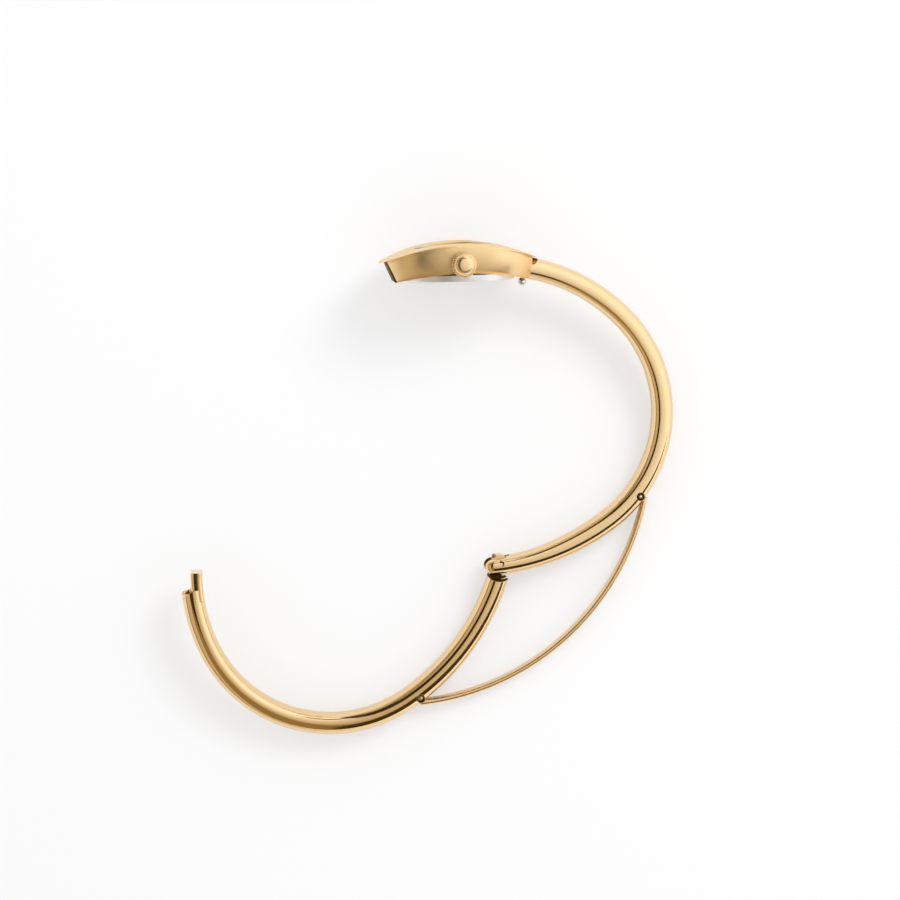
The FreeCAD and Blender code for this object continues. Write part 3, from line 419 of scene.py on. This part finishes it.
socket = prism("socket", disc(hinge, 1.42, 128), -FORK_HALF, FORK_HALF)
carve(fixed, [fork, slot, socket, bow_channel(), pocket, seat])
dress(fixed, ring, gold, "watch", "fixed_half")

# Swing half: bar, slanted shoulder, tongue and knuckle. Its end at the hinge is scooped out round the fixed
# half's end, and dark pieces of painted shade line the scoop and reach between the ears of the fork
left_floor = -180 - FLOOR_END
tongue_angle, tip_angle = -244.58, -250.31
swing_path = path([(FLOOR, math.degrees(math.asin(hinge.x / FLOOR[1])) - 90, left_floor),
                   (mirrored(SIDE), left_floor, -180 - SHOULDER_ANGLE),
                   (mirrored(SHOULDER), -180 - SHOULDER_ANGLE, tongue_angle)])
bar = sweep("bar", swing_path, band, slant=lambda off: max(0.0, off - 0.15) * 0.9)
away = Vector((-0.99, -0.13, 0))
across = Vector((0.13, -0.99, 0))
clear = prism("clear", disc(hinge, END_ROOM, 192), -10, 10)
corners = [hinge + away * a + across * b for a, b in ((2.35, -6), (2.35, 6), (-4, 6), (-4, -6))]
square = prism("square", [(point.x, point.y) for point in corners], -10, 10)
pocket = prism("pocket", disc(polar(swing_pin, 2.5, line_angle(swing_pin) + 180), 4.1),
               -CHANNEL_HALF, CHANNEL_HALF)
carve(pocket, [annulus("keep", FLOOR[0], FLOOR[1] - 1.3, 60, 3)], "INTERSECT")
seat = prism("seat", disc(swing_pin, SEAT_RADIUS), 2.0, 3.0)
gap_shade_reach = END_ROOM - 0.01
near = [hinge + away * (gap_shade_reach * math.cos(a)) - across * (gap_shade_reach * math.sin(a))
        for a in [math.radians(-70 + 5 * i) for i in range(29)]]
# Copy of the bar cut to the gap between the fork's ears, dark with painted shade
gap_shade_filler = link("gap_shade_filler", bar.data.copy())
carve(gap_shade_filler, [prism("near", [(point.x, point.y) for point in near], -KNUCKLE_HALF, KNUCKLE_HALF)], "INTERSECT")
carve(gap_shade_filler, [bow_channel()])
carve(bar, [clear, square, bow_channel(), pocket, seat])


def scoop():
    """Cutter a little wider than the room of the fixed half's end, moved into the bar."""
    return prism("scoop", disc(hinge + away * 0.2, 2.98, 192), -10, 10)


# Inner skin of the scoop, dark with painted shade
scoop_shade_lining = link("scoop_shade_lining", bar.data.copy())
carve(scoop_shade_lining, [scoop()], "INTERSECT")
carve(bar, [scoop()])
tongue = sweep("tongue", path([(mirrored(SHOULDER), tongue_angle + 4, tip_angle)]),
               section(2.0, 4.2, 0.7, shift=-0.85))
knuckle = prism("knuckle", disc(hinge, 1.3, 128), -KNUCKLE_HALF, KNUCKLE_HALF)
carve(knuckle, [bow_channel()])
dress(joined("swing_half_skin", [bar, tongue, knuckle]), swing, gold, "swing", "swing_half")
dress(joined("scoop_skin", [scoop_shade_lining, gap_shade_filler]), swing, painted_gap_shade, "swing")

# Bow with its eyes
first, last = [math.degrees(math.atan2(pin.y - bow_home.y, pin.x - bow_home.x))
               for pin in (fixed_pin, open_pin)]
last -= 360 if last > first else 0
strip = sweep("strip", path([((bow_home, STRIP_RADIUS), first, last)], 0.5), section(0.9, 2.4, 0.42))
eyes = [prism("eye", disc(pin, 1.05), -1.2, 1.2) for pin in (fixed_pin, open_pin)]
dress(joined("bow_skin", [strip] + eyes), ring, soft_gold, "bow_link", "bow")

# Flush end of the hinge pin: a bent line pressed into the upper ear, dark with painted groove shade
mark = [(0.5 * math.cos(a) - 0.05, 0.42 * math.sin(a))
        for a in [math.radians(-62 + 124 * i / 20) for i in range(21)]] + [(0.0, 0.38), (-0.2, 0.36)]
trace = []
for index, (x, y) in enumerate(mark):
    ahead, behind = mark[min(index + 1, len(mark) - 1)], mark[max(index - 1, 0)]
    run = Vector((ahead[0] - behind[0], ahead[1] - behind[1], 0)).normalized()
    out = Vector((run.y, -run.x, 0))
    trace.append([Vector((x, y, 2.345)) + out * 0.12 * math.cos(t) + Vector((0, 0, 0.045 * math.sin(t)))
                  for t in [2 * math.pi * k / 10 for k in range(10)]])
pressed = rings_mesh("hinge_pin_shade_mark", trace)
dress(pressed, ring @ Matrix.Translation(hinge + Vector((0.05, -0.1, 0))), painted_gap_shade, "watch")

# Flush pins: a cup of painted shade round the bright domed pin end in its middle
for name, pin, matrix, body in (("bow_pin_fixed", fixed_pin, ring, "watch"),
                                ("bow_pin_swing", swing_pin, swing, "swing")):
    shaded_cup = lathe(name + "_skin", [(0, -2.2), (0.4, -2.2), (0.4, 1.85), (0.7, 1.85), (0.7, 2.22), (0.66, 2.24),
                                 (0.46, 2.0), (0.3, 2.0)])
    stud = lathe(name + "_stud", [(0.0, 1.9), (0.30, 1.9), (0.29, 2.18), (0.24, 2.26), (0.15, 2.3), (0, 2.31)])
    dress(shaded_cup, matrix @ Matrix.Translation(pin), painted_gap_shade, body, name)
    dress(stud, matrix @ Matrix.Translation(pin), gold, body)

# Hinge knob: a small dark ball on a neck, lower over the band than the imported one
KNOB_RADIUS, KNOB_DROP, NECK_LENGTH = 0.4, 1.34, 1.2
local = [ring.inverted() @ vertex.co for vertex in nodes["hinge_release"].data.vertices]
peak = max(point.y for point in local)
ball = [point for point in local if point.y > peak - 1.2]
spot = Vector(((min(q.x for q in ball) + max(q.x for q in ball)) / 2, peak - KNOB_DROP,
               (min(q.z for q in ball) + max(q.z for q in ball)) / 2))
profile = [(0, -NECK_LENGTH), (0.2, -NECK_LENGTH), (0.2, -0.34)]
profile += [(KNOB_RADIUS * math.cos(a), KNOB_RADIUS * math.sin(a)) for a in
            [math.radians(t) for t in range(-56, 91, 8)]] + [(0, KNOB_RADIUS)]
knob = lathe("hinge_release_skin", profile, 48)
knob_place = ring @ Matrix.Translation(spot) @ Matrix.Rotation(math.radians(-90), 4, "X")
dress(knob, knob_place, dark_steel, "hinge_knob", "hinge_release")

# Watch head: lofts round the cushion outline
AROUND = 288


def cushion(half_long, half_wide):
    return superellipse(half_long, half_wide, 2.5, AROUND)


def circle(radius):
    return disc(Vector(), radius, AROUND)


def level(arch, height, x):
    """Height over the head's base of an arch along the bangle, at a distance from its middle."""
    return height - (arch - math.sqrt(arch * arch - x * x))


def under(x):
    return level(45.0, 1.25, x)


def top(x):
    return level(37.0, 5.5, x)


def crest(x):
    return level(31.0, 6.15, x)


def at(outline, height):
    """Outline lifted to one height, or to one that depends on x."""
    return [Vector((x, y, height(x) if callable(height) else height)) for x, y in outline]


case_rings = [at(circle(RIM_BORE), 4.3), at(circle(MOVEMENT_BORE), 4.3), at(circle(MOVEMENT_BORE), 1.3),
              at(circle(BACK_BORE), 1.3), at(circle(BACK_BORE), under), at(cushion(12.05, 9.45), under)]
FLANK_STEPS = 16
for index in range(FLANK_STEPS + 1):
    share = index / FLANK_STEPS
    grow = -0.75 * (1 - share) ** 2 - 0.12 * share ** 3
    outline = cushion(CASE_LONG + grow, CASE_WIDE + grow)
    case_rings.append(at(outline, lambda x: under(x) + 0.12 + (top(x) - under(x) - 0.12) * share))
case_rings.append(at(circle(RIM_BORE), top))
case = rings_mesh("case_middle_skin", case_rings, closed=True)


def end_block(inset):
    """Cutter of the slanted left end, moved inward by the inset."""
    block = rings_mesh("block", [[Vector((x, y, z)) for y, z in ((-20, 0), (20, 0), (20, -30), (-20, -30))]
                                 for x in (inset, -30)])
    block.data.transform(Matrix.Translation((-12.3, 0, 2.9)) @ Matrix.Rotation(math.radians(-24), 4, "Y")
                         @ Matrix.Translation((0, 0, 15)))
    return block


lug_room = rings_mesh("lug_room", [[Vector((x, y, z)) for y, z in ((-2.5, 6), (2.5, 6), (2.5, -14), (-2.5, -14))]
                                   for x in (9.5, 30)])
stem_hole = prism("stem_hole", disc(Vector(), 0.86), 8, 12)
stem_hole.data.transform(Matrix.Translation((0, 0, CROWN_LEVEL)) @ Matrix.Rotation(math.radians(90), 4, "X"))
# Thin skin of the case's slanted left end, dark with painted shade where that face lies in shadow
SHADE_EDGE_THICK = 0.3
edge = link("end_painted_shade", case.data.copy())
carve(edge, [end_block(SHADE_EDGE_THICK)], "INTERSECT")
carve(edge, [end_block(0)])
carve(case, [end_block(SHADE_EDGE_THICK), lug_room, stem_hole])
dress(edge, head, painted_gap_shade, "watch")
dress(case, head, satin, "watch", "case_middle")


def between(share):
    """Heights at a share of the way from the case's top to the bezel's crest."""
    return lambda x: top(x) + (crest(x) - top(x)) * share


bezel_rings = [at(circle(GLASS_BORE), top)]
for share in (0.0, 0.15, 0.35, 0.6, 0.85, 1.0):
    outline = cushion(BEZEL_LONG - 1.0 + 1.0 * share ** 0.5, 9.6 - 0.22 * share)
    bezel_rings.append(at(outline, between(0.45 * share)))
for inset, share in ((0.15, 0.60), (0.4, 0.76), (0.8, 0.9), (1.2, 0.97), (1.8, 1.0)):
    bezel_rings.append(at(cushion(BEZEL_LONG - inset, 9.38 - inset * 0.7), between(share)))
bezel_rings += [at(circle(RIM_BORE), crest), at(circle(7.55), lambda x: crest(x) - 0.1),
                at(circle(GLASS_BORE), lambda x: crest(x) - 0.35)]
bezel = rings_mesh("bezel_skin", bezel_rings, closed=True)
dress(bezel, head, satin, "watch", "bezel")

# Shallow steel back
BACK_RADIUS, BACK_DEPTH = 9.3, 0.85
profile = [(0, -BACK_DEPTH)]
profile += [(BACK_RADIUS * math.sin(a), -BACK_DEPTH * math.cos(a)) for a in
            [math.radians(5 * i) for i in range(1, 19)]]
profile += [(BACK_RADIUS, 0.95), (MOVEMENT_BORE, 0.95), (MOVEMENT_BORE, 0.1), (0, 0.1)]
dress(lathe("caseback_skin", profile, 192), head, back_steel, "watch", "caseback")

# Crystal, low enough to stay behind the gold rim
profile = [(0, 5.3), (5.0, 5.2), (7.2, 4.95), (7.3, 5.0), (7.3, 5.25), (7.1, 5.38), (6.0, 5.52), (4.0, 5.64),
           (2.0, 5.7), (0, 5.72)]
dress(lathe("crystal_skin", profile, 192), head, glass, "watch", "crystal", 60)

# Crown with its coin edge: radius, height and share of the flutes' depth
FLUTES, FLUTE_DEPTH = 28, 0.15
CROWN_PROFILE = (
    (0.9, 0.3, 0), (1.5, 0.0, 0), (1.95, 0.0, 0), (2.06, 0.06, 1), (2.12, 0.2, 1), (2.12, 1.15, 1),
    (2.04, 1.36, 1), (1.95, 1.46, 1), (1.76, 1.5, 0), (1.72, 1.62, 0), (1.66, 1.8, 0), (1.55, 2.0, 0),
    (1.35, 2.2, 0), (1.1, 2.36, 0), (0.8, 2.44, 0), (0.45, 2.49, 0), (0.15, 2.5, 0))
crown_rings = []
for radius, up, flute in CROWN_PROFILE:
    around = []
    for index in range(FLUTES * 12):
        angle = 2 * math.pi * index / (FLUTES * 12)
        reach = radius - flute * FLUTE_DEPTH * max(0.0, -math.cos(FLUTES * angle)) ** 0.7
        around.append(Vector((reach * math.cos(angle), reach * math.sin(angle), up)))
    crown_rings.append(around)
crown_place = head @ Matrix.Translation((0, -10.0, CROWN_LEVEL)) @ Matrix.Rotation(math.radians(90), 4, "X")
dress(rings_mesh("crown_skin", crown_rings), crown_place, soft_gold, "crown_stem", "crown")

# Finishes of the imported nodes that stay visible, by the record's material slots
by_slot = {
    "polished_gold": gold, "case_steel": back_steel, "knob_steel": steel, "spring_steel": steel,
    "watch_glass": glass,
    "dial_paint": sunray_dial(head @ Vector((0, 0, DIAL_LEVEL)), head.to_euler()),
    "seal_rubber": plain("black_rubber", (0.03, 0.03, 0.03), (0.05, 0.05, 0.05), 0.6, 900.0),
    "movement_brass": metal("movement_brass", (0.80, 0.60, 0.28), (0.72, 0.52, 0.22), 0.3, wear=0.1),
    "movement_steel": metal("movement_steel", (0.70, 0.70, 0.72), (0.62, 0.62, 0.64), 0.25),
    "holder_plastic": plain("holder_plastic", (0.75, 0.75, 0.73), (0.68, 0.68, 0.66), 0.5, 700.0),
    "board_laminate": plain("board_laminate", (0.03, 0.16, 0.08), (0.02, 0.11, 0.06), 0.35, 1200.0),
    "coil_copper": metal("coil_copper", (0.85, 0.42, 0.22), (0.72, 0.33, 0.16), 0.3, wear=0.3,
                         grain=(1, 14, 14)),
    "battery_steel": metal("battery_steel", (0.75, 0.75, 0.74), (0.68, 0.68, 0.67), 0.22),
}
slot_of = {part["node"]: part["material_slot"] for part in frame["record"]["subparts"]}
for name, obj in nodes.items():
    obj.data.materials.clear()
    obj.data.materials.append(by_slot[slot_of[name]])

# Camera straight above
camera = bpy.data.objects.new("camera", bpy.data.cameras.new("camera"))
scene.collection.objects.link(camera)
camera.location = (3.7 * MM, 5.95 * MM, 450 * MM)
camera.data.lens = 105.0
camera.data.sensor_width = 36.0
camera.data.clip_start = 0.01
scene.camera = camera

# White table. Camera rays see it lifted to white, which leaves the soft shadows on it
bpy.ops.mesh.primitive_plane_add(size=3.0, location=(0, 0, 0))
floor = bpy.context.active_object
floor.name = "floor"
paper = Shader("paper")
paper.main.inputs["Base Color"].default_value = (0.93, 0.93, 0.935, 1)
paper.main.inputs["Roughness"].default_value = 0.9
paper.main.inputs["Specular IOR Level"].default_value = 0.0
rays = paper.node("ShaderNodeLightPath")
either = paper.node("ShaderNodeMath", operation="MAXIMUM")
paper.link(rays.outputs["Is Camera Ray"], either.inputs[0])
paper.link(rays.outputs["Is Transmission Ray"], either.inputs[1])
share = paper.node("ShaderNodeMath", operation="MULTIPLY")
share.inputs[1].default_value = 0.45
paper.link(either.outputs[0], share.inputs[0])
glow = paper.node("ShaderNodeEmission")
glow.inputs["Color"].default_value = (1, 1, 1, 1)
blend = paper.node("ShaderNodeMixShader")
output = paper.tree.nodes["Material Output"]
paper.link(share.outputs[0], blend.inputs[0])
paper.link(paper.main.outputs[0], blend.inputs[1])
paper.link(glow.outputs[0], blend.inputs[2])
paper.link(blend.outputs[0], output.inputs["Surface"])
floor.data.materials.append(paper.material)

# World: even light on the table, and a darker room in the reflections, warmer where it is darker, as gold
# that reflects gold would be
WARM, WHITE = (1, 0.65, 0.08), (1, 1, 1)
world = bpy.data.worlds.new("tent")
scene.world = world
world.use_nodes = True
tree = world.node_tree
even = tree.nodes["Background"]
even.inputs["Color"].default_value = (1, 1, 1, 1)
even.inputs["Strength"].default_value = 0.86
room = tree.nodes.new("ShaderNodeBackground")
coords = tree.nodes.new("ShaderNodeTexCoord")
split = tree.nodes.new("ShaderNodeSeparateXYZ")
tree.links.new(coords.outputs["Generated"], split.inputs[0])


def ramp(low, high, start, end):
    """Value that rises from left to right across the sky."""
    made = tree.nodes.new("ShaderNodeMapRange")
    for key, value in (("From Min", start), ("From Max", end), ("To Min", low), ("To Max", high)):
        made.inputs[key].default_value = value
    tree.links.new(split.outputs["X"], made.inputs["Value"])
    return made.outputs["Result"]


tree.links.new(ramp(0.34, 1.25, -0.9, 0.9), room.inputs["Strength"])
tint = tree.nodes.new("ShaderNodeMix")
tint.data_type = "RGBA"
tint.inputs[6].default_value = (*WARM, 1)
tint.inputs[7].default_value = (*WHITE, 1)
tree.links.new(ramp(0.27, 1.0, -0.9, 0.1), tint.inputs[0])
tree.links.new(tint.outputs[2], room.inputs["Color"])
ray = tree.nodes.new("ShaderNodeLightPath")
choice = tree.nodes.new("ShaderNodeMixShader")
tree.links.new(ray.outputs["Is Glossy Ray"], choice.inputs[0])
tree.links.new(even.outputs[0], choice.inputs[1])
tree.links.new(room.outputs[0], choice.inputs[2])
tree.links.new(choice.outputs[0], tree.nodes["World Output"].inputs["Surface"])


def card(name, x0, x1, y0, y1, height, near, far):
    """Panel that only reflections see, with its brightness rising toward the upper right."""
    mesh = bpy.data.meshes.new(name)
    corners = [(x * MM, y * MM, height * MM) for x, y in ((x0, y0), (x1, y0), (x1, y1), (x0, y1))]
    mesh.from_pydata(corners, [], [(0, 1, 2, 3)])
    panel = link(name, mesh)
    shader = Shader(name)
    place = shader.node("ShaderNodeTexCoord")
    along = shader.node("ShaderNodeVectorMath", operation="DOT_PRODUCT")
    along.inputs[1].default_value = (0.8, 0.6, 0.0)
    shader.link(place.outputs["Object"], along.inputs[0])
    strength = shader.spread(along.outputs["Value"], near, far, -0.04, 0.12)
    light = shader.node("ShaderNodeEmission")
    tone = shader.mix(shader.spread(strength, 0.0, 1.0, 0.15, 0.85), WARM, WHITE)
    shader.link(tone, light.inputs["Color"])
    shader.link(strength, light.inputs["Strength"])
    shader.link(light.outputs[0], shader.tree.nodes["Material Output"].inputs["Surface"])
    mesh.materials.append(shader.material)
    for ray_kind in ("visible_camera", "visible_diffuse", "visible_shadow", "visible_transmission"):
        setattr(panel, ray_kind, False)


CARDS = (  # left, right, front, back and height in mm, then brightness at the lower left and the upper right
    ("bright_panel", -22, 700, -90, 700, 140, 0.57, 1.25),
    ("dark_side_strip", -100, -22, -90, 500, 140, 0.03, 0.03),
    ("dark_front_strip", -100, 420, -300, -90, 140, 0.05, 0.05),
    ("left_panel", -600, -100, -300, 500, 140, 0.6, 0.6),
    ("dark_front_left", -100, 5, -300, -68, 138, 0.3, 0.3),
    ("dark_back_strip", -400, 60, 125, 215, 138, 0.12, 0.12),
)
for row in CARDS:
    card(*row)

# Soft key from the upper right, for the shadows toward the lower left
key = bpy.data.objects.new("key", bpy.data.lights.new("key", "AREA"))
scene.collection.objects.link(key)
key.location = (0.30, 0.30, 0.42)
key.rotation_euler = (-key.location).to_track_quat("-Z", "Y").to_euler()
key.data.size = 0.22
key.data.energy = 1.1
key.visible_glossy = False
scene.view_settings.view_transform = "Standard"
